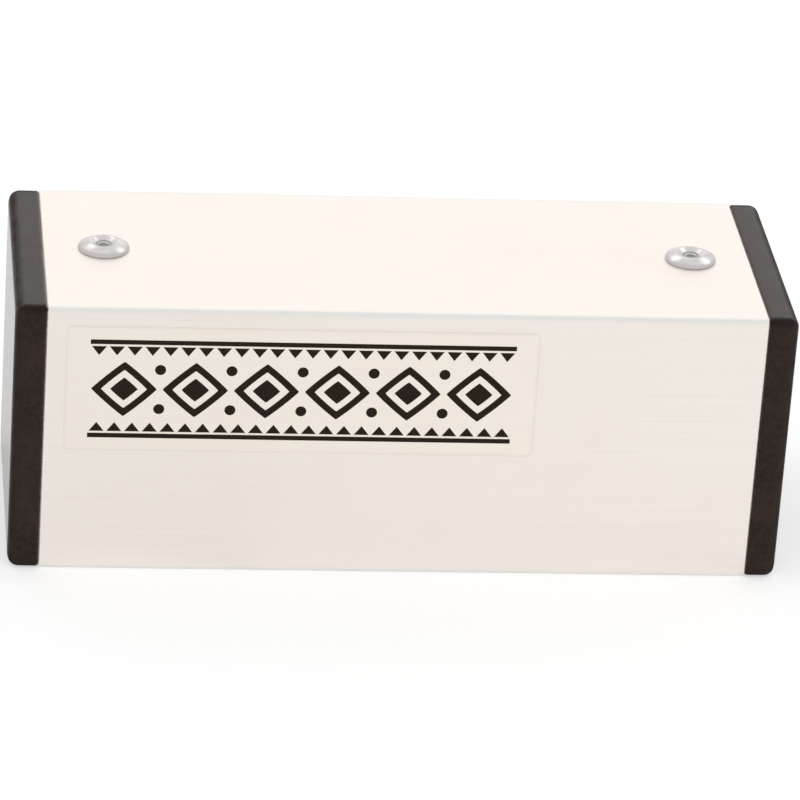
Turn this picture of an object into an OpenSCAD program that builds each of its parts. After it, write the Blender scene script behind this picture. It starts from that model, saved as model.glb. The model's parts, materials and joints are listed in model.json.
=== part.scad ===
// Square-tube percussion shaker lying on its side, label side to the front.
// Origin: middle of the bottom face. Length runs along X, the label faces -Y, height is +Z.
// Two end plugs close the tube, a blind rivet locks each plug, and loose shot rolls inside.

/* [Tube] */
// Outside width and height of the square tube
tube_side = 44.45; // [44:0.05:52]
// Length of the tube between the heads of the two end caps
tube_length = 111; // [104:0.5:150]
// Wall thickness of the tube
tube_wall = 1.6; // [1.2:0.1:1.8]
// Rounding along the four long outside edges of the tube
tube_edge_r = 0.5; // [0.3:0.1:1.2]
// Small chamfer around both cut ends of the tube
tube_chamfer = 0.25; // [0.1:0.05:0.5]

/* [End caps] */
// Thickness of the cap head outside the tube
cap_head = 4.7; // [3.6:0.1:8]
// Rounding of the edges around the outer face of the head
cap_edge_r = 1.8; // [1:0.1:3.4]
// Rounding of the four corners of the head, seen from the end
cap_corner_r = 1; // [0.5:0.1:3]
// How far the hollow skirt of the cap reaches into the tube
skirt_length = 16; // [15:0.5:18]
// Wall thickness of the skirt
skirt_wall = 2; // [1.5:0.1:2.5]
// Gap between the skirt and the inside of the tube
skirt_gap = 0.3; // [0.15:0.05:0.5]
// Thickness of the two grip ribs around the skirt
rib_thick = 0.9; // [0.6:0.1:1.4]

/* [Rivets] */
// Distance from a cut end of the tube to the rivet axis
rivet_inset = 9.5; // [8.5:0.5:10]
// Diameter of the rivet shank
rivet_d = 4; // [3.2:0.1:4.8]
// Diameter of the domed rivet head
rivet_head_d = 8; // [6.6:0.1:9.6]
// Height of the domed rivet head
rivet_head_h = 1.6; // [1.2:0.1:2]
// Diameter of the dished top of the rivet head, where the dish meets the dome
dish_d = 4.3; // [3.6:0.1:5]
// Diameter of the broken-off pin left in the rivet
mandrel_d = 2.2; // [1.8:0.1:2.4]
// Depth of the broken pin below the full height of the dome
mandrel_recess = 0.9; // [0.8:0.1:1.2]

/* [Label] */
// Width of the label film
label_w = 72.5; // [50:0.5:90]
// Height of the label film
label_h = 21; // [12:0.5:30]
// Thickness of the label film
label_t = 0.1; // [0.08:0.02:0.2]
// Gap from the left cut end of the tube to the label
label_left = 3.2; // [2:0.1:6]
// Gap from the top face of the tube to the label
label_top = 2.9; // [2:0.1:6]

/* [Shot] */
// Diameter of one steel ball
shot_d = 3; // [2:0.1:3.2]
// Balls in each row
shot_per_row = 9; // [4:1:12]
// Gap between two balls in a row
shot_space = 0.12; // [0.1:0.02:0.5]
// How far the rows are scattered along the tube at rest
shot_scatter = 13; // [0:1:16]

/* [Hidden] */
$fn = 96;
// Overshoot that lets a cutter clear the face it cuts
past = 1;
half_len = tube_length / 2;
half_side = tube_side / 2;
bore_side = tube_side - 2 * tube_wall;
skirt_side = bore_side - 2 * skirt_gap;
// Distances of the two grip ribs from the cut end of the tube, and their gap to its wall
rib_places = [3.2, skirt_length - 1.5];
rib_gap = 0.02;
// Running clearance of the set rivet, the pin inside it and the plates between them
rivet_fit = 0.05;
rivet_x = half_len - rivet_inset;
rivet_hole_r = rivet_d / 2 + rivet_fit;
grip = tube_wall + skirt_gap + skirt_wall + rivet_fit;
// Straight rim under the dome, then the sphere that passes through the rim and the top
dome_rim = 0.4;
dome_rise = rivet_head_h - dome_rim;
dome_r = (pow(rivet_head_d / 2, 2) + dome_rise * dome_rise) / (2 * dome_rise);
// Dish that the setting tool presses into the dome, cut by a cone that flares past the head
dish_h = 0.5;
dish_rim = rivet_head_h - dome_r + sqrt(dome_r * dome_r - dish_d * dish_d / 4);
dish_floor = dish_rim - dish_h;
dish_cut = rivet_head_h + past - dish_floor;
dish_flare = (dish_d - mandrel_d) / 2 / dish_h;
// Bulb that the pin pulls up behind the skirt, as shares of the shank
bulb_r = rivet_d * 0.78;
bulb_h = rivet_d * 0.95;
bulb_mid = bulb_h * 0.48;
// Round head of the pin below the bulb
pin_head_r = mandrel_d * 0.8;
pin_head_drop = 0.4;
label_corner_r = 1;
// Twelve rows of shot share the floor of the tube, clear of its walls and of each other
shot_rows = 12;
wall_gap = 0.4;
floor_gap = 0.1;
row_pitch = (bore_side - shot_d - 2 * wall_gap) / (shot_rows - 1);
ball_pitch = shot_d + shot_space;
row_half = (shot_per_row - 1) * ball_pitch / 2 + shot_d / 2;
row_spread = min(shot_scatter, half_len - skirt_length - row_half - wall_gap);
// Angle between one row's place and the next, which keeps the scatter from repeating
scatter_step = 137.5;
alloy = [0.86, 0.85, 0.83];
black = [0.11, 0.1, 0.1];
bright = [0.8, 0.79, 0.78];
steel = [0.6, 0.6, 0.62];
film = [0.9, 0.88, 0.84];

// Bar along X with a square section and round long edges, standing on Z = 0
module rounded_bar(x0, x1, side, r) {
  translate([x0, -side / 2 + r, 0]) cube([x1 - x0, side - 2 * r, side]);
  translate([x0, -side / 2, r]) cube([x1 - x0, side, side - 2 * r]);
  for (y = [-1, 1]) for (z = [r, side - r])
    translate([x0, y * (side / 2 - r), z]) rotate([0, 90, 0]) cylinder(r = r, h = x1 - x0);
}

// Square bar along X, centred on the axis of the tube
module axis_bar(x0, x1, side) {
  translate([x0, -side / 2, half_side - side / 2]) cube([x1 - x0, side, side]);
}

// Cutters for the chamfer around both cut ends
module end_chamfers() {
  for (x = [-half_len, half_len]) for (a = [0, 90, 180, 270])
    translate([x, 0, half_side]) rotate([a, 0, 0]) translate([0, 0, half_side]) rotate([0, 45, 0])
      cube([tube_chamfer * sqrt(2), tube_side + 2 * past, tube_chamfer * sqrt(2)], center = true);
}

module body_tube() {
  color(alloy) difference() {
    rounded_bar(-half_len, half_len, tube_side, tube_edge_r);
    axis_bar(-half_len - past, half_len + past, bore_side);
    end_chamfers();
    for (x = [-rivet_x, rivet_x])
      translate([x, 0, tube_side - tube_wall - past]) cylinder(r = rivet_hole_r, h = tube_wall + 2 * past);
  }
}

// Head block whose outer edges are rounded across one direction only
module head_slab() {
  r = cap_edge_r;
  wide = tube_side + 2 * past;
  translate([0, -wide / 2, 0]) cube([cap_head - r, wide, tube_side]);
  translate([0, -wide / 2, r]) cube([cap_head, wide, tube_side - 2 * r]);
  for (z = [r, tube_side - r])
    translate([cap_head - r, -wide / 2, z]) rotate([-90, 0, 0]) cylinder(r = r, h = wide);
}

// Outside part of a cap, its inner face on the cut end of the tube
module cap_head_block() {
  intersection() {
    rounded_bar(0, cap_head, tube_side, cap_corner_r);
    head_slab();
    translate([0, 0, half_side]) rotate([90, 0, 0]) translate([0, 0, -half_side]) head_slab();
  }
}

module end_cap() {
  difference() {
    union() {
      translate([half_len, 0, 0]) cap_head_block();
      axis_bar(half_len - skirt_length, half_len + past, skirt_side);
      for (x = rib_places)
        axis_bar(half_len - x - rib_thick / 2, half_len - x + rib_thick / 2, bore_side - 2 * rib_gap);
    }
    axis_bar(half_len - skirt_length - past, half_len, skirt_side - 2 * skirt_wall);
    translate([rivet_x, 0, tube_side - grip - past]) cylinder(r = rivet_hole_r, h = grip + past);
  }
}

module right_end_cap() {
  color(black) end_cap();
}

module left_end_cap() {
  color(black) mirror([1, 0, 0]) end_cap();
}

// Blind rivet with a domed and dished head, hollow shank and the bulb formed behind the skirt
module rivet() {
  difference() {
    union() {
      intersection() {
        cylinder(d = rivet_head_d, h = rivet_head_h + past);
        translate([0, 0, rivet_head_h - dome_r]) sphere(r = dome_r);
      }
      translate([0, 0, -grip - bulb_mid]) cylinder(d = rivet_d, h = grip + bulb_mid + dome_rim);
      intersection() {
        translate([0, 0, -grip - bulb_h]) cylinder(r = bulb_r + past, h = bulb_h);
        translate([0, 0, -grip - bulb_mid]) sphere(r = bulb_r);
      }
    }
    translate([0, 0, -grip - bulb_h - past])
      cylinder(r = mandrel_d / 2 + rivet_fit, h = grip + bulb_h + rivet_head_h + 2 * past);
    translate([0, 0, dish_floor])
      cylinder(r1 = mandrel_d / 2, r2 = mandrel_d / 2 + dish_cut * dish_flare, h = dish_cut);
  }
}

// Pin left in the rivet after setting, with its round head behind the bulb
module rivet_pin() {
  low = -grip - bulb_h - rivet_fit;
  mid = low - pin_head_drop;
  translate([0, 0, mid]) cylinder(d = mandrel_d, h = rivet_head_h - mandrel_recess - mid);
  intersection() {
    translate([0, 0, mid - pin_head_r]) cylinder(r = pin_head_r + past, h = low - mid + pin_head_r);
    translate([0, 0, mid]) sphere(r = pin_head_r);
  }
}

module left_rivet() {
  color(bright) translate([-rivet_x, 0, tube_side]) rivet();
}

module right_rivet() {
  color(bright) translate([rivet_x, 0, tube_side]) rivet();
}

module left_rivet_pin() {
  color(steel) translate([-rivet_x, 0, tube_side]) rivet_pin();
}

module right_rivet_pin() {
  color(steel) translate([rivet_x, 0, tube_side]) rivet_pin();
}

module label_film() {
  r = label_corner_r;
  color(film) translate([-half_len + label_left, -half_side - label_t, tube_side - label_top - label_h]) {
    translate([r, 0, 0]) cube([label_w - 2 * r, label_t, label_h]);
    translate([0, 0, r]) cube([label_w, label_t, label_h - 2 * r]);
    for (x = [r, label_w - r]) for (z = [r, label_h - r])
      translate([x, 0, z]) rotate([-90, 0, 0]) cylinder(r = r, h = label_t);
  }
}

// One row of loose balls on the floor of the tube, scattered a little along X
module shot_row(i) {
  x = row_spread * sin(i * scatter_step);
  y = (i - (shot_rows + 1) / 2) * row_pitch;
  color(steel) for (k = [0 : shot_per_row - 1])
    translate([x + (k - (shot_per_row - 1) / 2) * ball_pitch, y, tube_wall + shot_d / 2 + floor_gap])
      sphere(d = shot_d, $fn = 32);
}

module shot_row_01() { shot_row(1); }
module shot_row_02() { shot_row(2); }
module shot_row_03() { shot_row(3); }
module shot_row_04() { shot_row(4); }
module shot_row_05() { shot_row(5); }
module shot_row_06() { shot_row(6); }
module shot_row_07() { shot_row(7); }
module shot_row_08() { shot_row(8); }
module shot_row_09() { shot_row(9); }
module shot_row_10() { shot_row(10); }
module shot_row_11() { shot_row(11); }
module shot_row_12() { shot_row(12); }

body_tube();
left_end_cap();
right_end_cap();
left_rivet();
right_rivet();
left_rivet_pin();
right_rivet_pin();
label_film();
shot_row_01();
shot_row_02();
shot_row_03();
shot_row_04();
shot_row_05();
shot_row_06();
shot_row_07();
shot_row_08();
shot_row_09();
shot_row_10();
shot_row_11();
shot_row_12();
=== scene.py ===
# %% [markdown]
# # A square-tube percussion shaker
# A length of square aluminium tube holds about a hundred steel balls. A black plastic plug closes
# each end, and one blind rivet through the top face keeps each plug from working loose.
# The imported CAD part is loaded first, as a frame that is never moved. It gives the main sizes and every
# place, so the pieces made below only have to bring the finer shape and the finish of each surface.

# %% Load the frame
import json
import math

import bmesh
import bpy
import numpy as np
from mathutils import Matrix, Vector

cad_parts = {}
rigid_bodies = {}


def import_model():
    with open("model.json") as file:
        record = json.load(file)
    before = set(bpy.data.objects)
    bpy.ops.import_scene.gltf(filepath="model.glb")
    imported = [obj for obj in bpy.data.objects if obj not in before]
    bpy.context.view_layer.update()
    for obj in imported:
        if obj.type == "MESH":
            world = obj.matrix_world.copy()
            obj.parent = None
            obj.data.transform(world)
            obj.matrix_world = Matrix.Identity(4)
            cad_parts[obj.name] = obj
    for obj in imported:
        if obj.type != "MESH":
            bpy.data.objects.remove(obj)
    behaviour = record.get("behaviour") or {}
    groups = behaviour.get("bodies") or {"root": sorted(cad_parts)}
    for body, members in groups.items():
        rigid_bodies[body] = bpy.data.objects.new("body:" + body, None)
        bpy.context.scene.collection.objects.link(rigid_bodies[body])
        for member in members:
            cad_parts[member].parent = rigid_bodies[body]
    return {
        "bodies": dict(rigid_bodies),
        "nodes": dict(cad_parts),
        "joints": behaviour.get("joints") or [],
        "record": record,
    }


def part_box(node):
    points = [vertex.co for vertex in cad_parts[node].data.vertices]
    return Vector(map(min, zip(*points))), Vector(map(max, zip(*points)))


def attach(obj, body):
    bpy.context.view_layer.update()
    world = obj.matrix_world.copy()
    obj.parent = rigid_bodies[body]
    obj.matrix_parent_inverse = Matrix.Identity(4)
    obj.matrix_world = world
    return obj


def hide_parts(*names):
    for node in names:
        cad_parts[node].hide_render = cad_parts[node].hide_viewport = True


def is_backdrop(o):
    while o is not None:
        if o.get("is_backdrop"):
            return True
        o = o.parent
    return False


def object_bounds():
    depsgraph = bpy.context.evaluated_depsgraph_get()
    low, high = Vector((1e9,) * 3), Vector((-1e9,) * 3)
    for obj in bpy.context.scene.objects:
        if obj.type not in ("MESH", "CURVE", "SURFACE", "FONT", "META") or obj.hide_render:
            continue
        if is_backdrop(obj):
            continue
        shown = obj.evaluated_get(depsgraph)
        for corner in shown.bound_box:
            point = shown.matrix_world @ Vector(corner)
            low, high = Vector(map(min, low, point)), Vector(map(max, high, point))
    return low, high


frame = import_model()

cad_low, cad_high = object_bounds()
for kind in ("bodies", "nodes", "joints"):
    print("frame:", len(frame[kind]), kind)

# %% [markdown]
# ## Measure the frame
# The sizes could be typed in again, but a later change to the CAD part would then leave the surfaces
# behind. So what the frame's boxes know is read from them: those of the tube, a plug, a rivet, a pin and
# the label give the lengths that the surfaces below are built on. Wall thicknesses and other inner sizes
# don't show in a box, so they are named beside the piece that needs them.

# %% Sizes read from the frame
MM = 0.001
tube_low, tube_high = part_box("body_tube")
plug_low, plug_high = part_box("right_end_cap")
rivet_low, rivet_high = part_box("right_rivet")
half_length = tube_high.x
half_side = tube_high.y
tube_top = tube_high.z
axis_z = (tube_low.z + tube_high.z) / 2
head_depth = plug_high.x - half_length
skirt_depth = half_length - plug_low.x
rivet_x = (rivet_low.x + rivet_high.x) / 2
print(f"tube {2 * half_length / MM:.1f} x {2 * half_side / MM:.2f} mm, plug head {head_depth / MM:.1f} mm")

# %% [markdown]
# ## Camera
# The photograph was taken through a long lens from above and a little to the left, with the camera
# tipped a few degrees. A track-to constraint can't hold such a tip, so the camera's own right, up and
# back directions are worked out and put into its matrix.

# %% Camera at the photograph's angle
VIEW_AZIMUTH = math.radians(6.903)
VIEW_ELEVATION = math.radians(25.828)
VIEW_TIP = math.radians(3.961)
VIEW_DISTANCE = 847.0 * MM
VIEW_LENS = 241.66
VIEW_AIM = Vector((1.63, -1.40, 19.76)) * MM

forward = Vector((math.sin(VIEW_AZIMUTH) * math.cos(VIEW_ELEVATION),
                  math.cos(VIEW_AZIMUTH) * math.cos(VIEW_ELEVATION),
                  -math.sin(VIEW_ELEVATION)))
level = forward.cross(Vector((0, 0, 1))).normalized()
right = level * math.cos(VIEW_TIP) + level.cross(forward) * math.sin(VIEW_TIP)
up = right.cross(forward)
camera = bpy.data.objects.new("photo_camera", bpy.data.cameras.new("photo_camera"))
camera.data.lens = VIEW_LENS
camera.matrix_world = Matrix.Translation(VIEW_AIM - forward * VIEW_DISTANCE) @ Matrix(
    (right, up, -forward)).transposed().to_4x4()
bpy.context.collection.objects.link(camera)
bpy.context.scene.camera = camera
bpy.context.scene.view_settings.view_transform = "Standard"
print("camera at", [round(value / MM) for value in camera.matrix_world.translation], "mm")

# %% [markdown]
# ## From a grid of points to a mesh
# All the pieces are grids: rows of points that run along a piece, columns that run round it and close
# into a ring. Faces could be added one at a time in a loop, but index arithmetic on whole arrays joins
# all neighbours in one step. Where a row shrinks to a point, its doubled points are merged, so the
# surface is closed there.

# %% Helper: faces of a grid
def grid_faces(islands, rows, columns, wrap_rows):
    """Corner numbers of the faces: each point joins its right, lower right and lower neighbour.
    Columns always close into a ring, rows only with wrap_rows, and islands stay apart."""
    island = np.arange(islands)[:, None, None] * rows * columns
    row = np.arange(rows if wrap_rows else rows - 1)[None, :, None]
    column = np.arange(columns)[None, None, :]
    below = (row + 1) % rows
    beside = (column + 1) % columns
    corners = (row * columns + column, row * columns + beside,
               below * columns + beside, below * columns + column)
    return np.stack(np.broadcast_arrays(*(island + corner for corner in corners)), axis=-1).reshape(-1, 4)


print("a ring of 3 rows and 4 columns has", len(grid_faces(1, 3, 4, False)), "faces")

# %% Helper: merge, turn and shade a mesh
MERGE_GAP = 0.0002 * MM
SMOOTH_ANGLE = math.radians(38)


def close_mesh(piece):
    """Merges doubled points, turns the faces outwards and shades all but sharp bends smooth."""
    work = bmesh.new()
    work.from_mesh(piece.data)
    bmesh.ops.remove_doubles(work, verts=work.verts, dist=MERGE_GAP)
    bmesh.ops.recalc_face_normals(work, faces=work.faces)
    work.to_mesh(piece.data)
    work.free()
    piece.data.shade_smooth()
    piece.data.set_sharp_from_angle(angle=SMOOTH_ANGLE)


print(f"points closer than {MERGE_GAP / MM:.4f} mm are merged")

# %% Helpers: a piece and the node that it stands for
BODY = "shaker_body"


def add_piece(name, *surfaces):
    """Object made of surfaces, each a pair of points (islands, rows, columns, xyz) and wrap_rows."""
    points, faces, count = [], [], 0
    for grid, wrap_rows in surfaces:
        grid = grid.reshape((-1,) + grid.shape[-3:])
        faces.append(grid_faces(*grid.shape[:3], wrap_rows) + count)
        points.append(grid.reshape(-1, 3))
        count += len(points[-1])
    mesh = bpy.data.meshes.new(name)
    mesh.from_pydata(np.concatenate(points).tolist(), [], np.concatenate(faces).tolist())
    piece = bpy.data.objects.new(name, mesh)
    bpy.context.collection.objects.link(piece)
    close_mesh(piece)
    return piece


def stand_for(piece, node):
    """The piece rides on the shaker's body and hides the CAD node."""
    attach(piece, BODY)
    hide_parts(node)
    print(f"{piece.name}: {len(piece.data.vertices)} points, {len(piece.data.polygons)} faces")


print("the pieces ride on", BODY)

# %% [markdown]
# ## The section that tube, plugs and label share
# Each of them is a rounded rectangle: four quarter circles with straight stretches between. A Bevel
# modifier could round a plain box, but the radius here changes from row to row, so the arcs are worked
# out. One more point sits just beyond each arc, so smooth shading stays in the corner and the flats stay
# flat.

# %% Helper: rounded rectangles, one per row
CORNER_STEPS = 7
FLAT_MARGIN = 0.4 * MM


def rounded_ring(half_a, half_b, corner):
    """Points round rectangles of the given half sides: corner centre + corner radius * (cos t, sin t),
    plus a slide along the tangent at both ends of each quarter turn."""
    quarter = np.linspace(0, np.pi / 2, CORNER_STEPS)
    turn = np.concatenate([quarter[:1], quarter, quarter[-1:]])
    slide = np.zeros_like(turn)
    slide[[0, -1]] = -1, 1
    side_a = np.repeat([1, -1, -1, 1], len(turn))
    side_b = np.repeat([1, 1, -1, -1], len(turn))
    turn = (turn + np.arange(4)[:, None] * np.pi / 2).ravel()
    half_a, half_b, corner = np.broadcast_arrays(*map(np.atleast_1d, (half_a, half_b, corner)))
    half_a, half_b = half_a[:, None], half_b[:, None]
    short = np.minimum(half_a, half_b)
    corner = np.minimum(corner[:, None], short)
    slide = np.tile(slide, 4) * np.minimum(FLAT_MARGIN, short - corner)
    a = side_a * (half_a - corner) + corner * np.cos(turn) - slide * np.sin(turn)
    b = side_b * (half_b - corner) + corner * np.sin(turn) + slide * np.cos(turn)
    return a, b


def square_sweep(path, corner):
    """Rounded squares carried along X. A path point is (place along X, inset from the tube's outside)."""
    y, z = rounded_ring(half_side - path[:, 1], half_side - path[:, 1], corner)
    return np.stack([np.broadcast_to(path[:, :1], y.shape), y, z + axis_z], axis=-1)


print("a rounded square has", rounded_ring(half_side, half_side, FLAT_MARGIN)[0].size, "points")

# %% [markdown]
# ## Rivet holes
# Tube and plug are drilled together on the bench before the rivet goes in. The grids could be bent to
# leave a hole open, but a cut keeps them simple: a closed drum of points is taken away with a Boolean,
# which is applied at once, and the drum is removed again.

# %% Helper: drill straight down
HOLE_RADIUS = 2.05 * MM
HOLE_SIDES = 48


def drill(piece, x, high, low):
    """Cuts a round hole between two heights: rings of radius * (cos t, sin t) closed by two poles."""
    turn = np.linspace(0, 2 * np.pi, HOLE_SIDES, endpoint=False)
    radius = np.array([0, 1, 1, 0])[:, None] * HOLE_RADIUS
    height = np.array([high, high, low, low])[:, None] + 0 * turn
    rings = np.stack([x + radius * np.cos(turn), radius * np.sin(turn), height], axis=-1)
    drum = add_piece("drill", (rings, False))
    cut = piece.modifiers.new("hole", "BOOLEAN")
    cut.object = drum
    cut.solver = "EXACT"
    shaped = piece.evaluated_get(bpy.context.evaluated_depsgraph_get())
    mesh = bpy.data.meshes.new_from_object(shaped)
    piece.modifiers.clear()
    piece.data = mesh
    bpy.data.objects.remove(drum)
    close_mesh(piece)


print(f"rivet holes are {2 * HOLE_RADIUS / MM:.1f} mm wide")

# %% [markdown]
# ## The tube
# Extruded square tube, sawn to length, its cut ends broken with a file. A Solidify modifier could give
# the wall, but not the filed ends. So the rounded square is carried along a path that runs out along the
# outside, round the cut end, back through the bore and round the other end: wall, chamfers and bore are
# one closed surface.

# %% Tube
TUBE_WALL = 1.6 * MM
TUBE_EDGE_ROUND = 0.5 * MM
TUBE_BORE_ROUND = 0.3 * MM
TUBE_CHAMFER = 0.3 * MM
TUBE_DEBURR = 0.15 * MM
DRILL_CLEAR = 0.15 * MM

cut_end = np.array([[half_length - TUBE_CHAMFER, 0], [half_length, TUBE_CHAMFER],
                    [half_length, TUBE_WALL - TUBE_DEBURR], [half_length - TUBE_DEBURR, TUBE_WALL]])
tube_path = np.concatenate([cut_end, cut_end[::-1] * (-1, 1)])
tube_corner = np.where(tube_path[:, 1] > TUBE_WALL / 2, TUBE_BORE_ROUND, TUBE_EDGE_ROUND)
tube = add_piece("satin_tube", (square_sweep(tube_path, tube_corner), True))
for side in (-1, 1):
    drill(tube, side * rivet_x, tube_top + TUBE_WALL, tube_top - TUBE_WALL - DRILL_CLEAR)
stand_for(tube, "body_tube")

# %% [markdown]
# ## The end plugs
# Moulded in one piece: a solid head flush with the tube, its outer edges rounded, and a hollow skirt with
# two grip ribs that is pushed into the bore. Head, skirt and ribs could be boxes joined by Booleans, but
# one path holds them all, with the roundings as arcs on it. It starts in the middle of the end face and
# ends in the middle of the hollow.

# %% Path along a plug
PLUG_EDGE_ROUND = 1.8 * MM
PLUG_CORNER_ROUND = 1.0 * MM
PLUG_CORNER_LEAST = 0.35 * MM
PLUG_LIP_ROUND = 0.3 * MM
SKIRT_GAP = 0.3 * MM
SKIRT_WALL = 2.0 * MM
SKIRT_LEAD = 0.5 * MM
RIB_PLACES = (3.2 * MM, skirt_depth - 1.5 * MM)
RIB_THICK = 0.9 * MM
RIB_SLOPE = 0.15 * MM
RIB_GAP = 0.02 * MM
ARC_STEPS = 9
skirt_inset = TUBE_WALL + SKIRT_GAP
hollow_inset = skirt_inset + SKIRT_WALL


def path_arc(x, inset, radius, start, end):
    """Arc on a path: (x + radius sin t, inset - radius cos t) between two angles in degrees."""
    t = np.radians(np.linspace(start, end, ARC_STEPS))
    return np.stack([x + radius * np.sin(t), inset - radius * np.cos(t)], axis=-1)


def grip_rib(place):
    """Four points of a low rib with sloping sides."""
    near, far = RIB_THICK / 2 - place, -RIB_THICK / 2 - place
    return [[near, skirt_inset], [near - RIB_SLOPE, TUBE_WALL + RIB_GAP],
            [far + RIB_SLOPE, TUBE_WALL + RIB_GAP], [far, skirt_inset]]


plug_path = np.concatenate([
    [[head_depth, half_side], [head_depth, PLUG_EDGE_ROUND + FLAT_MARGIN]],
    path_arc(head_depth - PLUG_EDGE_ROUND, PLUG_EDGE_ROUND, PLUG_EDGE_ROUND, 90, 0),
    [[PLUG_LIP_ROUND + FLAT_MARGIN, 0]],
    path_arc(PLUG_LIP_ROUND, PLUG_LIP_ROUND, PLUG_LIP_ROUND, 0, -90),
    [[0, skirt_inset]],
    *map(grip_rib, RIB_PLACES),
    [[SKIRT_LEAD - skirt_depth, skirt_inset], [-skirt_depth, skirt_inset + SKIRT_LEAD]],
    [[-skirt_depth, hollow_inset], [0, hollow_inset], [0, half_side]],
])
plug_corner = np.maximum(PLUG_CORNER_ROUND - plug_path[:, 1], PLUG_CORNER_LEAST)
print("plug path has", len(plug_path), "places")

# %% Left and right plug
SIDES = ((-1, "left"), (1, "right"))
for side, word in SIDES:
    placed = np.stack([side * (half_length + plug_path[:, 0]), plug_path[:, 1]], axis=-1)
    plug = add_piece(f"{word}_plug", (square_sweep(placed, plug_corner), False))
    drill(plug, side * rivet_x,
          tube_top - TUBE_WALL - SKIRT_GAP / 2, tube_top - hollow_inset - DRILL_CLEAR)
    stand_for(plug, f"{word}_end_cap")

# %% [markdown]
# ## The blind rivets
# A blind rivet is a hollow turned sleeve with a domed head. Pulling its pin swells the far end into a
# bulb behind the skirt. It is a lathe shape: one profile of radius and height, turned round the axis. A
# Screw modifier could turn a drawn profile, but here the heights come from formulas. The pull of the pin
# leaves a dish in the dome, and dome and dish meet in a soft minimum of their two heights, which rounds
# the rim of the dish. SET_GAP, the width of a hair, is left between the skirt and the bulb, and between
# the bulb and the pin's head, so that no two surfaces lie in one place.

# %% Rivet head
BORE_RADIUS = 1.15 * MM
DOME_RIM = 0.4 * MM
RIM_ROUND = 0.15 * MM
DOME_HEIGHT = 1.6 * MM
DISH_RADIUS = 2.15 * MM
DISH_DEPTH = 0.5 * MM
DISH_SOFT = 0.05 * MM
head_radius = (rivet_high.y - rivet_low.y) / 2
dome_rise = DOME_HEIGHT - DOME_RIM
dome_radius = (head_radius ** 2 + dome_rise ** 2) / (2 * dome_rise)


def dome_height_at(radius):
    """Height of a sphere that passes through the rim of the head and the top of the dome."""
    return DOME_HEIGHT - dome_radius + np.sqrt(dome_radius ** 2 - radius ** 2)


def head_height_at(radius):
    """Soft minimum of the dome's sphere and the dish's cone."""
    slope = DISH_DEPTH / (DISH_RADIUS - BORE_RADIUS)
    dish = dome_height_at(DISH_RADIUS) + (radius - DISH_RADIUS) * slope
    return -DISH_SOFT * np.logaddexp(-dome_height_at(radius) / DISH_SOFT, -dish / DISH_SOFT)


print(f"the dome is part of a ball of {dome_radius / MM:.1f} mm radius")

# %% Rivet profile
RIVET_RADIUS = 2.0 * MM
BULB_RADIUS = 3.12 * MM
BULB_HEIGHT = 3.8 * MM
BULB_MIDDLE = 0.48 * BULB_HEIGHT
SET_GAP = 0.05 * MM
CROWN_STEPS = 34
BULB_STEPS = 16
TURN_STEPS = 72
grip = hollow_inset + SET_GAP


def lathe(profile):
    """Profile of (radius, height) turned round the Z axis: (radius cos t, radius sin t, height)."""
    turn = np.linspace(0, 2 * np.pi, TURN_STEPS, endpoint=False)
    radius, height = profile[:, :1], profile[:, 1:]
    return np.stack([radius * np.cos(turn), radius * np.sin(turn), height + 0 * turn], axis=-1)


crown = np.linspace(BORE_RADIUS, head_radius - RIM_ROUND, CROWN_STEPS)
bulb_angle = np.linspace(math.acos(BULB_MIDDLE / BULB_RADIUS),
                         math.acos((BULB_MIDDLE - BULB_HEIGHT) / BULB_RADIUS), BULB_STEPS)
rivet_profile = np.concatenate([
    np.stack([crown, head_height_at(crown)], axis=-1),
    [[head_radius, DOME_RIM - RIM_ROUND], [head_radius, RIM_ROUND / 2], [head_radius - RIM_ROUND / 2, 0]],
    [[RIVET_RADIUS, 0], [RIVET_RADIUS, -grip]],
    np.stack([BULB_RADIUS * np.sin(bulb_angle),
              BULB_RADIUS * np.cos(bulb_angle) - grip - BULB_MIDDLE], axis=-1),
    [[BORE_RADIUS, -grip - BULB_HEIGHT]],
])
print(f"rivet head {2 * head_radius / MM:.1f} mm across, {rivet_profile[:, 1].max() / MM:.2f} mm high")

# %% [markdown]
# ## The broken pins
# When the rivet is set, its steel pin snaps inside the head. Steel that is pulled apart leaves a cup: a
# dull, rough floor inside a thin bright lip. Noise in a Displace modifier could roughen it, but would
# tear the lip as well. So the torn end, the top of a lathe shape, is lowered by a power of the radius
# that makes the cup, and by a few waves in angle and radius that fade out at the lip.

# %% Pin profile and its torn end
PIN_RADIUS = 1.1 * MM
PIN_HEAD_RADIUS = 1.76 * MM
PIN_HEAD_DROP = 0.4 * MM
PIN_HEAD_STEPS = 14
CUP_DEPTH = 0.2 * MM
TEAR_HEIGHT = 0.08 * MM
TORN_ROWS = 14
pin_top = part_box("right_rivet_pin")[1].z - tube_top
pin_head_top = -grip - BULB_HEIGHT - SET_GAP
pin_head_middle = pin_head_top - PIN_HEAD_DROP
pin_angle = np.linspace(math.acos(PIN_HEAD_DROP / PIN_HEAD_RADIUS), np.pi, PIN_HEAD_STEPS)
torn = PIN_RADIUS * np.sqrt(np.linspace(0, 1, TORN_ROWS))
pin_profile = np.concatenate([
    np.stack([torn, np.full(TORN_ROWS, pin_top)], axis=-1),
    [[PIN_RADIUS, pin_head_top]],
    np.stack([PIN_HEAD_RADIUS * np.sin(pin_angle),
              PIN_HEAD_RADIUS * np.cos(pin_angle) + pin_head_middle], axis=-1),
])


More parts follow.
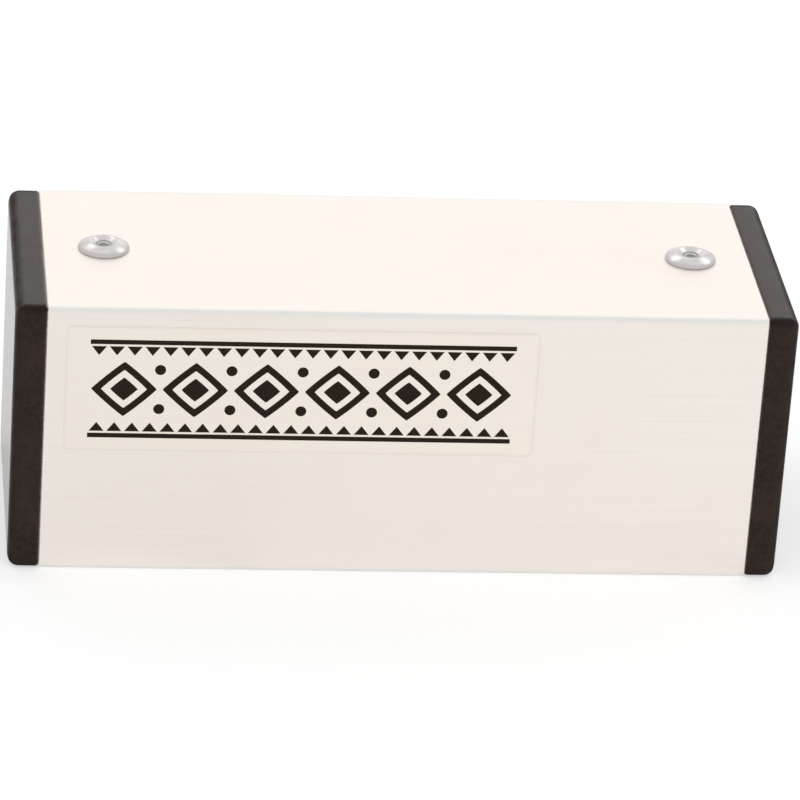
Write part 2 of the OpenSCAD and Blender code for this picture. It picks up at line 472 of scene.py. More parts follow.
def tear(grid):
    """Lowers the torn rows by a cup, depth * (1 - r^8), and by waves that fade out at its lip,
    height * r * (1 - r^4) * (1 + sin(2t + 9r) + 0.6 sin(5t - 14r)) / 2, with r as a share."""
    share = torn[:, None] / PIN_RADIUS
    turn = np.linspace(0, 2 * np.pi, TURN_STEPS, endpoint=False)
    waves = 1 + np.sin(2 * turn + 9 * share) + 0.6 * np.sin(5 * turn - 14 * share)
    grid[:TORN_ROWS, :, 2] -= CUP_DEPTH * (1 - share ** 8)
    grid[:TORN_ROWS, :, 2] -= TEAR_HEIGHT * share * (1 - share ** 4) * waves / 2
    return grid


print("pin profile has", len(pin_profile), "places")

# %% Left and right rivet with its pin
for side, word in SIDES:
    seat = np.array([side * rivet_x, 0, tube_top])
    rivet = add_piece(f"{word}_dome_rivet", (lathe(rivet_profile) + seat, True))
    stand_for(rivet, f"{word}_rivet")
    pin = add_piece(f"{word}_broken_pin", (tear(lathe(pin_profile)) + seat, False))
    stand_for(pin, f"{word}_rivet_pin")

# %% [markdown]
# ## The label film
# A clear printed film with rounded corners is stuck to the front face. A single plane could stand for it,
# but the cut edge of a film catches the light, so it is a real slab: rounded rectangles that shrink to a
# line in the middle of the front, and the same on the back.

# %% Label film
LABEL_CORNER_ROUND = 1.0 * MM
INK_THICK = 0.02 * MM
FILM_EDGE_ROUND = 0.03 * MM
label_low, label_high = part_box("label_film")
label_middle = (label_low + label_high) / 2
label_half_w = (label_high.x - label_low.x) / 2
label_half_h = (label_high.z - label_low.z) / 2
film_front = label_low.y + INK_THICK

film_inset = np.array([label_half_h, FLAT_MARGIN, FILM_EDGE_ROUND, 0, 0, label_half_h])
film_y = np.array([film_front] * 3 + [film_front + FILM_EDGE_ROUND] + [label_high.y] * 2)
film_a, film_b = rounded_ring(label_half_w - film_inset, label_half_h - film_inset, LABEL_CORNER_ROUND)
film_grid = np.stack([film_a + label_middle.x, film_y[:, None] + 0 * film_a,
                      film_b + label_middle.z], axis=-1)
film = add_piece("clear_label", (film_grid, False))
stand_for(film, "label_film")

# %% [markdown]
# ## The printed ornament
# The film carries a black ornament: a row of nested diamonds with dots between, inside a border of small
# teeth. It could be a pattern in the film's material, but a mesh keeps its outlines sharp from close by.
# So each mark is a thin island of ink with a front, a rim and a back. Diamonds and dots are one formula,
# a superellipse, with another power; every kind of mark is one array of islands.

# %% Helpers: islands of ink
DIAMOND_POWER = 1.06
DOT_POWER = 2.0


def superellipse(half_w, half_h, power, count):
    """Outline (half_w * c^(2/power), half_h * s^(2/power)), where c and s are cos t and sin t and keep
    their signs."""
    t = np.linspace(0, 2 * np.pi, count, endpoint=False)
    c, s = np.cos(t), np.sin(t)
    bend = 2 / power
    return np.stack([half_w * np.sign(c) * abs(c) ** bend, half_h * np.sign(s) * abs(s) ** bend], axis=-1)


def ink(outer, inner, centres):
    """Rows inner front, outer front, outer back, inner back of flat marks at all the given centres."""
    flat = np.stack([inner, outer, outer, inner])
    depth = np.array([-INK_THICK, -INK_THICK, 0, 0])[:, None] + film_front
    x = flat[..., 0] + centres[:, 0, None, None]
    z = flat[..., 1] + centres[:, 1, None, None]
    return np.stack([x + label_middle.x, np.broadcast_to(depth, x.shape), z + label_middle.z], axis=-1)


def ink_plate(outline, centres):
    """Solid marks: the inner outline shrinks to the middle of the outer one, and rows don't wrap."""
    middle = np.broadcast_to(outline.mean(axis=0), outline.shape)
    return ink(outline, middle, centres), False


def ink_frame(outer, inner, centres):
    """Open marks: rows wrap, so the frame is closed on its inner side too."""
    return ink(outer, inner, centres), True


print("power", DIAMOND_POWER, "draws a diamond, power", DOT_POWER, "a round dot")

# %% Ornament
DIAMONDS = 6
DIAMOND_PITCH = 10.9 * MM
DIAMOND_HALF = (5.0 * MM, 4.6 * MM)
DIAMOND_FRAME = 0.7
DIAMOND_CORE = 0.42
DIAMOND_POINTS = 32
DOT_RADIUS = 0.85 * MM
DOT_POINTS = 20
DOT_RISE = 0.72 * DIAMOND_HALF[1]
RULE_HALF = (32.6 * MM, 0.38 * MM)
RULE_HEIGHT = 7.9 * MM
TEETH = 24
TOOTH_HALF_W = 1.15 * MM
TOOTH_HEIGHT = 1.5 * MM
TOOTH_GAP = 0.35 * MM


def in_row(count, pitch, height):
    """Centres of a row of marks, evenly spaced about the middle of the label."""
    x = (np.arange(count) - (count - 1) / 2) * pitch
    return np.stack([x, np.full(count, height)], axis=-1)


def diamond(share):
    """Outline of a diamond of the given share of the full size."""
    return superellipse(share * DIAMOND_HALF[0], share * DIAMOND_HALF[1], DIAMOND_POWER, DIAMOND_POINTS)


marks = [ink_frame(diamond(1), diamond(DIAMOND_FRAME), in_row(DIAMONDS, DIAMOND_PITCH, 0)),
         ink_plate(diamond(DIAMOND_CORE), in_row(DIAMONDS, DIAMOND_PITCH, 0))]
dot = superellipse(DOT_RADIUS, DOT_RADIUS, DOT_POWER, DOT_POINTS)
rule = np.array([[-1, -1], [1, -1], [1, 1], [-1, 1]]) * RULE_HALF
tooth = np.array([[-TOOTH_HALF_W, 0], [TOOTH_HALF_W, 0], [0, -TOOTH_HEIGHT]])
tooth_pitch = 2 * RULE_HALF[0] / TEETH
tooth_base = RULE_HEIGHT - RULE_HALF[1] - TOOTH_GAP
for sign in (-1, 1):
    marks.append(ink_plate(dot, in_row(DIAMONDS - 1, DIAMOND_PITCH, sign * DOT_RISE)))
    marks.append(ink_plate(rule, in_row(1, 0, sign * RULE_HEIGHT)))
    marks.append(ink_plate(tooth * (1, sign), in_row(TEETH, tooth_pitch, sign * tooth_base)))
ornament = add_piece("label_ornament", *marks)
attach(ornament, BODY)
print("ornament has", len(ornament.data.polygons), "faces")

# %% [markdown]
# ## Building finishes from nodes
# A finish could be painted on images, but those need a UV map and blur from close by. Here every finish
# is procedural and reads Object coordinates. All the pieces sit at the origin, so those coordinates are
# the shaker's own, in metres, and a grain runs on from one piece to the next. Short helpers keep each
# material readable as a recipe. Noise seldom leaves the middle of its range, so a finish stretches a band
# of it: the narrower the band, the harder the contrast.

# %% Helpers: nodes and sums
def add_node(tree, kind, inputs, **settings):
    """New node: settings are its own choices, inputs are plain values or outputs of other nodes."""
    node = tree.nodes.new(kind)
    for name, value in settings.items():
        setattr(node, name, value)
    for name, value in inputs.items():
        if isinstance(value, bpy.types.NodeSocket):
            tree.links.new(value, node.inputs[name])
        else:
            node.inputs[name].default_value = value
    return node


def calc(tree, operation, first, second=0.0):
    """One Math node."""
    return add_node(tree, "ShaderNodeMath", {0: first, 1: second}, operation=operation).outputs[0]


def calc_vector(tree, operation, first, second=(0, 0, 0)):
    """One Vector Math node."""
    return add_node(tree, "ShaderNodeVectorMath", {0: first, 1: second}, operation=operation).outputs[0]


def length_of(tree, vector):
    """Length of a vector."""
    return add_node(tree, "ShaderNodeVectorMath", {0: vector}, operation="LENGTH").outputs["Value"]


def add_share(tree, value, mask, amount):
    """The value plus a share of a mask."""
    inputs = {0: mask, 1: amount, 2: value}
    return add_node(tree, "ShaderNodeMath", inputs, operation="MULTIPLY_ADD").outputs[0]


print("sums are ready to be used in a finish")

# %% Helpers: noise, masks and relief
SOFT_BAND = (0.2, 0.8)
EVEN_BAND = (0.3, 0.7)
HARD_BAND = (0.35, 0.65)


def noise(tree, vector, scale, detail=2.0, roughness=0.5):
    """Noise of so many waves per metre."""
    inputs = {"Vector": vector, "Scale": scale, "Detail": detail, "Roughness": roughness}
    return add_node(tree, "ShaderNodeTexNoise", inputs).outputs["Fac"]


def remap(tree, value, band, to=(0.0, 1.0)):
    """Smooth step of a value between the ends of a band, put out between two other values."""
    inputs = {"Value": value, "From Min": band[0], "From Max": band[1], "To Min": to[0], "To Max": to[1]}
    return add_node(tree, "ShaderNodeMapRange", inputs, interpolation_type="SMOOTHSTEP").outputs["Result"]


def mix_colour(tree, factor, first, second):
    """Colour between two colours."""
    return add_node(tree, "ShaderNodeMix", {0: factor, 6: first, 7: second}, data_type="RGBA").outputs[2]


def bump(tree, height, distance, **more):
    """Normal of a fine relief of the given depth in metres. More inputs may be its strength, or the
    normal of a relief under it."""
    inputs = {"Height": height, "Distance": distance, **more}
    return add_node(tree, "ShaderNodeBump", inputs).outputs["Normal"]


print("noise is stretched by the bands", SOFT_BAND, EVEN_BAND, HARD_BAND)

# %% Helpers: materials
def new_material(name, **constants):
    """Principled material: constants are set straight on the shader's sockets."""
    material = bpy.data.materials.new(name)
    material.use_nodes = True
    tree = material.node_tree
    shader = tree.nodes["Principled BSDF"]
    for label, value in constants.items():
        shader.inputs[label.replace("_", " ")].default_value = value
    return material, tree, shader


def feed(tree, shader, **sources):
    """Links outputs of nodes to the shader's sockets of those names."""
    for label, source in sources.items():
        tree.links.new(source, shader.inputs[label.replace("_", " ")])


def object_coordinates(tree):
    """The shaker's own coordinates in metres."""
    return add_node(tree, "ShaderNodeTexCoord", {}).outputs["Object"]


def dress(material, *names):
    """Gives the material to pieces by name."""
    for name in names:
        bpy.data.objects[name].data.materials.append(material)
    print(material.name, "on", ", ".join(names))


print("a finish is now a short recipe")

# %% [markdown]
# ## Effects that several finishes share
# Four node groups are built once and placed in each material with its own values. Drawn grain is noise
# stretched along the tube. Handling marks are soft smudges, and hairline scratches where a stretched
# noise crosses its middle value. Pointiness could find the edges, but it changes with the mesh, so the
# edge mask is where two of the distances to the faces of a box are small, broken up by noise. It marks
# worn and dusty edges, and on the tube a line of painted shade. The distance from the nearer rivet's axis
# lets one material serve both rivets.

# %% Helper and group: drawn grain
def new_group(name, inputs, outputs):
    """Empty shader node group with named sockets; inputs are (name, default) pairs."""
    tree = bpy.data.node_groups.new(name, "ShaderNodeTree")
    for label, default in inputs:
        kind = "NodeSocketFloat" if isinstance(default, float) else "NodeSocketVector"
        tree.interface.new_socket(label, in_out="INPUT", socket_type=kind).default_value = default
    for label in outputs:
        tree.interface.new_socket(label, in_out="OUTPUT", socket_type="NodeSocketFloat")
    return tree, add_node(tree, "NodeGroupInput", {}).outputs, add_node(tree, "NodeGroupOutput", {}).inputs


def use_group(tree, group, **inputs):
    """Places a group in a material and gives its outputs."""
    named = {label.replace("_", " "): value for label, value in inputs.items()}
    return add_node(tree, "ShaderNodeGroup", named, node_tree=group).outputs


drawn_grain, given, wanted = new_group(
    "drawn grain", [("Vector", (0, 0, 0)), ("Along", 6.0), ("Across", 3600.0)], ["Grain"])
stretch = add_node(drawn_grain, "ShaderNodeCombineXYZ",
                   {"X": given["Along"], "Y": given["Across"], "Z": given["Across"]}).outputs[0]
stretched = calc_vector(drawn_grain, "MULTIPLY", given["Vector"], stretch)
drawn_grain.links.new(noise(drawn_grain, stretched, 1.0, detail=4.0, roughness=0.62), wanted["Grain"])
print("group", drawn_grain.name)

# %% Group: handling marks
SMUDGE_BAND = (0.46, 0.72)
SCRATCHED_BAND = (0.52, 0.62)
NOISE_MIDDLE = 0.5
HAIRLINE_WIDTH = 0.006
HAIRLINE_TURN = (0.5, 0.7, 0.6)
HAIRLINE_STRETCH = (1.0, 9.0, 9.0)

handling_marks, given, wanted = new_group(
    "handling marks", [("Vector", (0, 0, 0)), ("Smudge Scale", 60.0), ("Scratch Scale", 40.0)],
    ["Smudge", "Scratch"])
smudge = noise(handling_marks, given["Vector"], given["Smudge Scale"], detail=3.0)
handling_marks.links.new(remap(handling_marks, smudge, SMUDGE_BAND), wanted["Smudge"])
turned = add_node(handling_marks, "ShaderNodeMapping", {
    "Vector": given["Vector"], "Rotation": HAIRLINE_TURN, "Scale": HAIRLINE_STRETCH}).outputs[0]
streaks = noise(handling_marks, turned, given["Scratch Scale"], detail=1.0)
off_middle = calc(handling_marks, "ABSOLUTE", calc(handling_marks, "SUBTRACT", streaks, NOISE_MIDDLE))
hairline = remap(handling_marks, off_middle, (0.0, HAIRLINE_WIDTH), (1.0, 0.0))
patches = noise(handling_marks, given["Vector"], given["Scratch Scale"])
sparse = remap(handling_marks, patches, SCRATCHED_BAND)
handling_marks.links.new(calc(handling_marks, "MULTIPLY", hairline, sparse), wanted["Scratch"])
print("group", handling_marks.name)

# %% Group: worn edges
EDGE_PATCH_SCALE = 420.0
EDGE_PATCH_RANGE = (0.75, 1.0)

worn_and_shaded_edges, given, wanted = new_group(
    "worn and shaded edges", [("Vector", (0, 0, 0)), ("Middle", (0, 0, 0)), ("Half Size", (1, 1, 1)), ("Width", 0.001)],
    ["Edge"])
# The edge mask marks real wear and dust, and on the tube a painted line of shade.
offset = calc_vector(worn_and_shaded_edges, "SUBTRACT", given["Vector"], given["Middle"])
inside = calc_vector(worn_and_shaded_edges, "SUBTRACT", given["Half Size"], calc_vector(worn_and_shaded_edges, "ABSOLUTE", offset))
x, y, z = add_node(worn_and_shaded_edges, "ShaderNodeSeparateXYZ", {0: inside}).outputs
least = calc(worn_and_shaded_edges, "MINIMUM", calc(worn_and_shaded_edges, "MINIMUM", x, y), z)
most = calc(worn_and_shaded_edges, "MAXIMUM", calc(worn_and_shaded_edges, "MAXIMUM", x, y), z)
total = calc(worn_and_shaded_edges, "ADD", calc(worn_and_shaded_edges, "ADD", x, y), z)
second = calc(worn_and_shaded_edges, "SUBTRACT", calc(worn_and_shaded_edges, "SUBTRACT", total, least), most)
share = calc(worn_and_shaded_edges, "DIVIDE", second, given["Width"])
near = remap(worn_and_shaded_edges, share, (0.0, 1.0), (1.0, 0.0))
edge_patches = noise(worn_and_shaded_edges, given["Vector"], EDGE_PATCH_SCALE, detail=4.0, roughness=0.65)
patchy = remap(worn_and_shaded_edges, edge_patches, HARD_BAND, EDGE_PATCH_RANGE)
worn_and_shaded_edges.links.new(calc(worn_and_shaded_edges, "MULTIPLY", near, patchy), wanted["Edge"])
print("group", worn_and_shaded_edges.name)

# %% Group: distance from the nearer rivet's axis
rivet_axis, given, wanted = new_group("rivet axis", [("Vector", (0, 0, 0))], ["Distance"])
mirrored = calc_vector(rivet_axis, "ABSOLUTE", given["Vector"])
from_axis = calc_vector(rivet_axis, "SUBTRACT", mirrored, (rivet_x, 0, 0))
flat = calc_vector(rivet_axis, "MULTIPLY", from_axis, (1, 1, 0))
rivet_axis.links.new(length_of(rivet_axis, flat), wanted["Distance"])
print("group", rivet_axis.name)

# %% [markdown]
# ## Satin alloy of the tube
# Mill-finished aluminium looks silvery white in soft light, a little warm, with fine lines drawn along it
# by the die and a faint bead-blasted tooth. The shader's Anisotropic value could stretch the highlights,
# but would show no lines from close by. So a fine grain makes the relief, and colour and roughness follow
# it by a few percent. The edges are rubbed a little smoother, and a greyer colour paints a thin line of
# shade along them.

# %% Satin alloy
ALLOY_DARK = (0.865, 0.807, 0.756, 1)
ALLOY_LIGHT = (0.911, 0.855, 0.805, 1)
# Greyer colour of the tube's rubbed edges: a thin line of painted shade along them.
ALLOY_WORN_AND_SHADED = (0.755, 0.755, 0.745, 1)
ALLOY_ROUGHNESS = (0.36, 0.48)
SMUDGE_ROUGHENS = 0.05
SCRATCH_SMOOTHS = -0.1
RUB_SMOOTHS = -0.08
RUB_AND_SHADE_WIDTH = 1.2 * MM
GRAIN_BAND = (0.25, 0.75)
GRAIN_DEPTH = 0.0022 * MM
BLAST_SCALE = 5200.0
BLAST_DEPTH = 0.0016 * MM
shaker_box = {"Middle": (0, 0, axis_z), "Half_Size": (half_length + head_depth, half_side, half_side)}


def alloy_recipe(tree, shader, dark, light, edge_wear_and_shade, **edges):
    """Links the colour, roughness and relief of drawn alloy to a shader. The colours are those of the
    grain's dark lines, its light lines and the edges: dust on the film, and on the tube rubbing with a
    greyer colour that paints a line of shade."""
    place = object_coordinates(tree)
    grain = use_group(tree, drawn_grain, Vector=place)["Grain"]
    touched = use_group(tree, handling_marks, Vector=place)
    edge = use_group(tree, worn_and_shaded_edges, Vector=place, **edges)["Edge"]
    drawn = mix_colour(tree, remap(tree, grain, GRAIN_BAND), dark, light)
    rough = remap(tree, grain, SOFT_BAND, ALLOY_ROUGHNESS)
    rough = add_share(tree, rough, touched["Smudge"], SMUDGE_ROUGHENS)
    rough = add_share(tree, rough, touched["Scratch"], SCRATCH_SMOOTHS)
    rough = add_share(tree, rough, edge, RUB_SMOOTHS)
    lines = bump(tree, grain, GRAIN_DEPTH)
    relief = bump(tree, noise(tree, place, BLAST_SCALE), BLAST_DEPTH, Normal=lines)
    # Near the edges the colour turns to the edge colour: dust on the film, painted shade on the tube.
    feed(tree, shader, Base_Color=mix_colour(tree, edge, drawn, edge_wear_and_shade), Roughness=rough, Normal=relief)


satin_alloy, tree, shader = new_material("satin_alloy", Metallic=1.0)
alloy_recipe(tree, shader, ALLOY_DARK, ALLOY_LIGHT, ALLOY_WORN_AND_SHADED, Width=RUB_AND_SHADE_WIDTH, **shaker_box)
dress(satin_alloy, "satin_tube")

# %% [markdown]
# ## Clear film and black ink
# The film is so clear that the alloy's grain shows through it. A glass slab over the metal could do that,
# but light that passes it twice renders slowly and with noise. So the film's material is the alloy's own
# recipe under a glossy clear coat, a little yellower. Dust sticks along its cut edge, where the edge mask
# of a box of the film's own size finds it. The ink is a warm matt black that thins out a little in the
# finest noise, as screen print does.

# %% Film
FILM_DARK = (0.88, 0.818, 0.742, 1)
FILM_LIGHT = (0.912, 0.853, 0.776, 1)
FILM_DUSTY = (0.81, 0.75, 0.672, 1)
DUST_WIDTH = 0.6 * MM

clear_film, tree, shader = new_material(
    "clear_film", Metallic=1.0, Coat_Weight=0.6, Coat_Roughness=0.09, Coat_IOR=1.49)
film_half = (label_half_w, (label_high.y - label_low.y) / 2, label_half_h)
film_box = {"Middle": label_middle, "Half_Size": film_half}
alloy_recipe(tree, shader, FILM_DARK, FILM_LIGHT, FILM_DUSTY, Width=DUST_WIDTH, **film_box)
dress(clear_film, "clear_label")

# %% Ink
INK_DEEP = (0.019, 0.0105, 0.005, 1)
INK_THIN = (0.03, 0.018, 0.011, 1)
INK_ROUGHNESS = (0.28, 0.4)
SPECK_SCALE = 3800.0
SPECK_BAND = (0.4, 0.75)
SHINE_SCALE = 900.0

black_ink, tree, shader = new_material("black_ink", Specular_IOR_Level=0.12)
place = object_coordinates(tree)
thin = remap(tree, noise(tree, place, SPECK_SCALE, detail=3.0), SPECK_BAND)
rough = remap(tree, noise(tree, place, SHINE_SCALE), EVEN_BAND, INK_ROUGHNESS)
feed(tree, shader, Base_Color=mix_colour(tree, thin, INK_DEEP, INK_THIN), Roughness=rough)
dress(black_ink, "label_ornament")

# %% [markdown]
# ## Moulded black plastic
# The plugs look like polyethylene: warm black with a soft sheen and a very fine pebble from the mould,
# whose peaks have faded. The pebble could be a displaced mesh, but it is only a few thousandths of a
# millimetre deep, so a bump shows all of it. Hands leave dusty smudges on the plastic and rub its edges
# and corners matt, so that these mirror less of the light and look darker.

# %% Plug plastic
PLASTIC_BLACK = (0.0085, 0.003, 0.001, 1)
PLASTIC_FADED = (0.0235, 0.014, 0.0098, 1)
PLASTIC_DUSTY = (0.037, 0.0245, 0.019, 1)
PLASTIC_SCUFFED = (0.019, 0.012, 0.0095, 1)
PLASTIC_SHEEN = (1, 0.8, 0.7, 1)
PLASTIC_ROUGHNESS = (0.13, 0.19)
PLUG_MARKS = {"Smudge_Scale": 160.0, "Scratch_Scale": 55.0}
DUST_SHARE = 0.55
SCRATCH_SHARE = 0.5
SCUFF_ROUGHENS = 0.8
EDGE_SCUFF = 2.1 * MM
PEBBLE_SCALE = 1500.0
PEBBLE_DEPTH = 0.003 * MM
PEBBLE_STRENGTH = 0.6

plug_plastic, tree, shader = new_material(
    "plug_plastic", Specular_IOR_Level=0.26, Specular_Tint=PLASTIC_SHEEN)
place = object_coordinates(tree)
touched = use_group(tree, handling_marks, Vector=place, **PLUG_MARKS)
edge = use_group(tree, worn_and_shaded_edges, Vector=place, Width=EDGE_SCUFF, **shaker_box)["Edge"]
pebble = noise(tree, place, PEBBLE_SCALE, detail=3.0, roughness=0.6)
faded = mix_colour(tree, remap(tree, pebble, HARD_BAND), PLASTIC_BLACK, PLASTIC_FADED)
dust = calc(tree, "MULTIPLY", touched["Smudge"], DUST_SHARE)
dusty = mix_colour(tree, dust, faded, PLASTIC_DUSTY)
scuff = calc(tree, "MAXIMUM", edge, calc(tree, "MULTIPLY", touched["Scratch"], SCRATCH_SHARE))
rough = remap(tree, pebble, EVEN_BAND, PLASTIC_ROUGHNESS)
feed(tree, shader, Base_Color=mix_colour(tree, scuff, dusty, PLASTIC_SCUFFED),
     Roughness=add_share(tree, rough, scuff, SCUFF_ROUGHENS),
     Normal=bump(tree, pebble, PEBBLE_DEPTH, Strength=PEBBLE_STRENGTH))
dress(plug_plastic, "left_plug", "right_plug")

# %% [markdown]
# ## Rivet alloy and pin steel
# The rivet's head is greyer than the tube, with the fine rings of the heading tool. Its rim and the edge
# of its bore are painted darker as shade. The pin's cup is grainy, and painted darker as shade over the
# torn steel's own dull tone; its lip is bright. Each zone could be a material of its own on some of the
# faces, but with a hard border. The distance from the rivet's axis places the zones instead, and lets one
# fade into the next.

# %% Rivet alloy
RIVET_BRIGHT = (0.70, 0.67, 0.66, 1)
RIVET_DULL = (0.60, 0.57, 0.565, 1)
# Darker colour of the head's rim: painted shade.
RIVET_EDGE_SHADE = (0.54, 0.52, 0.515, 1)
# Darker colour at the edge of the bore: painted shade round the hole.
RIVET_BORE_SHADE = (0.46, 0.44, 0.43, 1)
RIVET_ROUGHNESS = (0.2, 0.3)
MOTTLE_SCALE = 700.0
RIM_WIDTH = 0.7 * MM
BORE_SHADE_WIDTH = 0.3 * MM
BORE_SHADE_RANGE = (0.7, 0.0)
BORE_ROUGHENS = 0.3
RING_SCALE = 5200.0
RING_DEPTH = 0.0012 * MM

headed_alloy, tree, shader = new_material("headed_alloy", Metallic=1.0)
place = object_coordinates(tree)
radius = use_group(tree, rivet_axis, Vector=place)["Distance"]
rings = add_node(tree, "ShaderNodeTexNoise", {"W": radius, "Scale": RING_SCALE},
                 noise_dimensions="1D").outputs["Fac"]
mottle = noise(tree, place, MOTTLE_SCALE, detail=4.0)
metal = mix_colour(tree, remap(tree, mottle, EVEN_BAND), RIVET_BRIGHT, RIVET_DULL)
# The rim of the head is painted darker as shade.
rim = remap(tree, radius, (head_radius - RIM_WIDTH, head_radius - RIM_ROUND))
metal = mix_colour(tree, rim, metal, RIVET_EDGE_SHADE)
# The edge of the bore is painted darker as shade.
bore_shade = remap(tree, radius, (BORE_RADIUS, BORE_RADIUS + BORE_SHADE_WIDTH), BORE_SHADE_RANGE)
rough = remap(tree, mottle, EVEN_BAND, RIVET_ROUGHNESS)
feed(tree, shader, Base_Color=mix_colour(tree, bore_shade, metal, RIVET_BORE_SHADE),
     Roughness=add_share(tree, rough, bore_shade, BORE_ROUGHENS), Normal=bump(tree, rings, RING_DEPTH))
dress(headed_alloy, "left_dome_rivet", "right_dome_rivet")

# %% Pin steel
# The cup's two steel tones are the torn steel's own dull grain, kept darker than the lip to paint shade in
# the cup.
CUP_STEEL_SHADED_DARK = (0.2, 0.185, 0.18, 1)
CUP_STEEL_SHADED_LIGHT = (0.38, 0.36, 0.35, 1)
STEEL_LIP = (0.6, 0.58, 0.57, 1)
LIP_WIDTH = 0.34 * MM
TORN_ROUGHNESS = (0.35, 0.6)
CRYSTAL_SCALE = 6000.0
CRYSTAL_DEPTH = 0.02 * MM

snapped_steel, tree, shader = new_material("snapped_steel", Metallic=1.0)
place = object_coordinates(tree)
crystals = noise(tree, place, CRYSTAL_SCALE, detail=3.0, roughness=0.7)
shaded_torn_cup = mix_colour(tree, remap(tree, crystals, HARD_BAND), CUP_STEEL_SHADED_DARK, CUP_STEEL_SHADED_LIGHT)
radius = use_group(tree, rivet_axis, Vector=place)["Distance"]
# The lip takes the brighter tone; inside it the cup is painted darker as shade.
lip = remap(tree, radius, (PIN_RADIUS - LIP_WIDTH, PIN_RADIUS - LIP_WIDTH / 2))
feed(tree, shader, Base_Color=mix_colour(tree, lip, shaded_torn_cup, STEEL_LIP),
     Roughness=remap(tree, crystals, EVEN_BAND, TORN_ROUGHNESS),
     Normal=bump(tree, crystals, CRYSTAL_DEPTH))
dress(snapped_steel, "left_broken_pin", "right_broken_pin")

# %% [markdown]
# ## The steel shot
# Inside, twelve rows of balls slide from plug to plug. New spheres could replace them, but their shape is
# right as it is, so the CAD nodes stay and only get a finish: tumbled steel, polished by its own
# knocking, with dull spots and scratches.

# %% Shot steel
SHOT_BRIGHT = (0.58, 0.585, 0.6, 1)
SHOT_DULL = (0.4, 0.395, 0.39, 1)
SHOT_ROUGHNESS = (0.12, 0.2)
SHOT_MARKS = {"Smudge_Scale": 700.0, "Scratch_Scale": 400.0}
KNOCK_SCALE = 2600.0
MARK_ROUGHENS = 0.2

tumbled_steel, tree, shader = new_material("tumbled_steel", Metallic=1.0)
place = object_coordinates(tree)
touched = use_group(tree, handling_marks, Vector=place, **SHOT_MARKS)
rough = remap(tree, noise(tree, place, KNOCK_SCALE), EVEN_BAND, SHOT_ROUGHNESS)
for mark in ("Smudge", "Scratch"):
    rough = add_share(tree, rough, touched[mark], MARK_ROUGHENS)
feed(tree, shader, Base_Color=mix_colour(tree, touched["Smudge"], SHOT_BRIGHT, SHOT_DULL), Roughness=rough)
shot_rows = [name for name in frame["nodes"] if name.startswith("shot_row")]
for name in shot_rows:
    for holder in frame["nodes"][name].material_slots:
        holder.material = tumbled_steel
print(tumbled_steel.name, "on", len(shot_rows), "rows")

# %% [markdown]
# ## Floor and surroundings
# The object lies on a large pale floor that keeps its soft shadow. More light could turn the setting
# white, but would flood the object as well. So floor and surroundings look plain white only to the camera
# and in the metal's reflections, and are moderately bright for all other rays. Light Path tells the rays
# apart.

# %% Floor
FLOOR_HALF = 3.0
FLOOR_DROP = 0.02 * MM
FLOOR_COLOUR = (0.8, 0.8, 0.8, 1)
FLOOR_LIFT = 0.475
WHITE = (1, 1, 1, 1)


def seen_plainly(tree):
    """1 for rays that show the setting itself: from the camera, or by reflection or through glass."""
    light_path = add_node(tree, "ShaderNodeLightPath", {}).outputs
    mirrored = calc(tree, "MAXIMUM", light_path["Is Glossy Ray"], light_path["Is Transmission Ray"])
    return calc(tree, "MAXIMUM", light_path["Is Camera Ray"], mirrored)


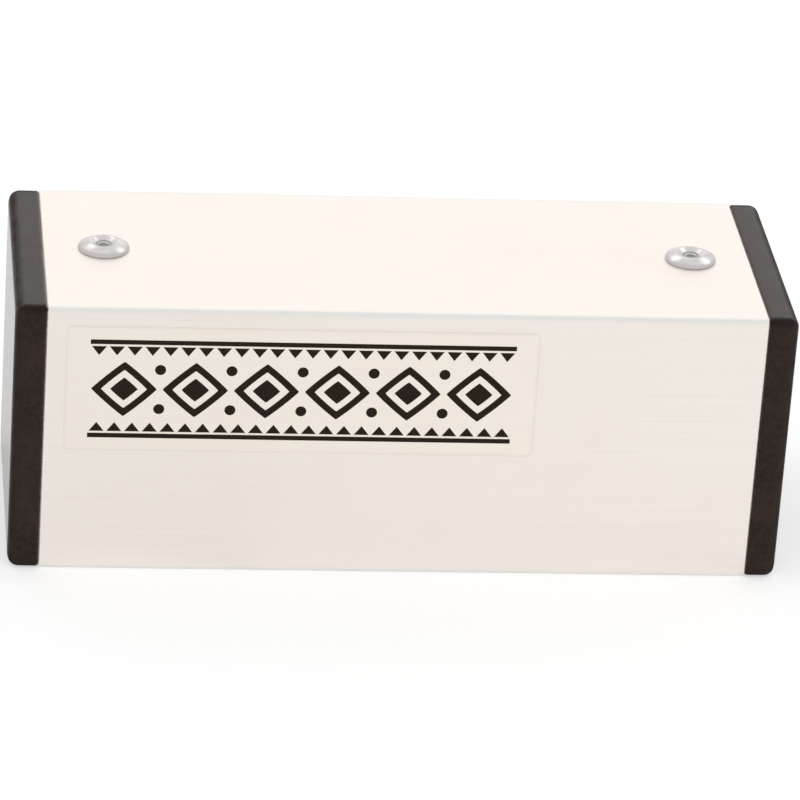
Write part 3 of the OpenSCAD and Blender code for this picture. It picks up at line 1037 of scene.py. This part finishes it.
floor_mesh = bpy.data.meshes.new("studio_floor")
floor_corners = np.array([[-1, -1, 0], [1, -1, 0], [1, 1, 0], [-1, 1, 0]]) * FLOOR_HALF
floor_corners[:, 2] = cad_low.z - FLOOR_DROP
floor_mesh.from_pydata(floor_corners.tolist(), [], [(0, 1, 2, 3)])
floor = bpy.data.objects.new("studio_floor", floor_mesh)
bpy.context.collection.objects.link(floor)
floor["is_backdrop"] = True
pale_floor = bpy.data.materials.new("pale_floor")
pale_floor.use_nodes = True
tree = pale_floor.node_tree
tree.nodes.remove(tree.nodes["Principled BSDF"])
matt = add_node(tree, "ShaderNodeBsdfDiffuse", {"Color": FLOOR_COLOUR}).outputs[0]
glow = calc(tree, "MULTIPLY", seen_plainly(tree), FLOOR_LIFT)
lift = add_node(tree, "ShaderNodeEmission", {"Color": WHITE, "Strength": glow}).outputs[0]
both = add_node(tree, "ShaderNodeAddShader", {0: matt, 1: lift}).outputs[0]
tree.links.new(both, tree.nodes["Material Output"].inputs["Surface"])
floor.data.materials.append(pale_floor)
print("floor", 2 * FLOOR_HALF, "m wide")

# %% World
AMBIENT = 0.66
world = bpy.data.worlds.new("white_studio")
bpy.context.scene.world = world
world.use_nodes = True
tree = world.node_tree
strength = remap(tree, seen_plainly(tree), (0.0, 1.0), (AMBIENT, 1.0))
tree.links.new(strength, tree.nodes["Background"].inputs["Strength"])
tree.nodes["Background"].inputs["Color"].default_value = WHITE
print("ambient light", AMBIENT)

# %% [markdown]
# ## Soft boxes
# Two soft boxes stand behind the shaker, to its left and right, as the paired highlights on the rivet
# heads show. A larger one, low behind it, whitens the top face as the camera sees it. Point lamps could
# stand there too, but area lamps keep the shadows soft. All three are weak, so that the pale metal clips
# from no side, and the front is left to the floor's softer light.

# %% Soft boxes
SOFT_BOXES = (
    ("left_box", (-0.56, 1.21, 1.49), 0.55, 1.0),
    ("right_box", (1.03, 0.93, 1.44), 0.55, 1.2),
    ("back_box", (0.24, 1.8, 0.9), 1.2, 0.72),
)
for name, place, size, watts in SOFT_BOXES:
    lamp = bpy.data.lights.new(name, "AREA")
    lamp.size = size
    lamp.energy = watts
    box = bpy.data.objects.new(name, lamp)
    box.location = place
    box.rotation_euler = (-Vector(place)).to_track_quat("-Z", "Y").to_euler()
    bpy.context.collection.objects.link(box)
print(len(SOFT_BOXES), "soft boxes")

# %% [markdown]
# ## Sizes
# The looks must not change the object's size, so the box of the CAD part and the box of the dressed
# part are printed side by side.

# %% Sizes
visual_low, visual_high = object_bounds()
boxes = {"cad": [list(cad_low), list(cad_high)], "visual": [list(visual_low), list(visual_high)]}
for label, (low, high) in boxes.items():
    print(label, [round((b - a) / MM, 2) for a, b in zip(low, high)], "mm")
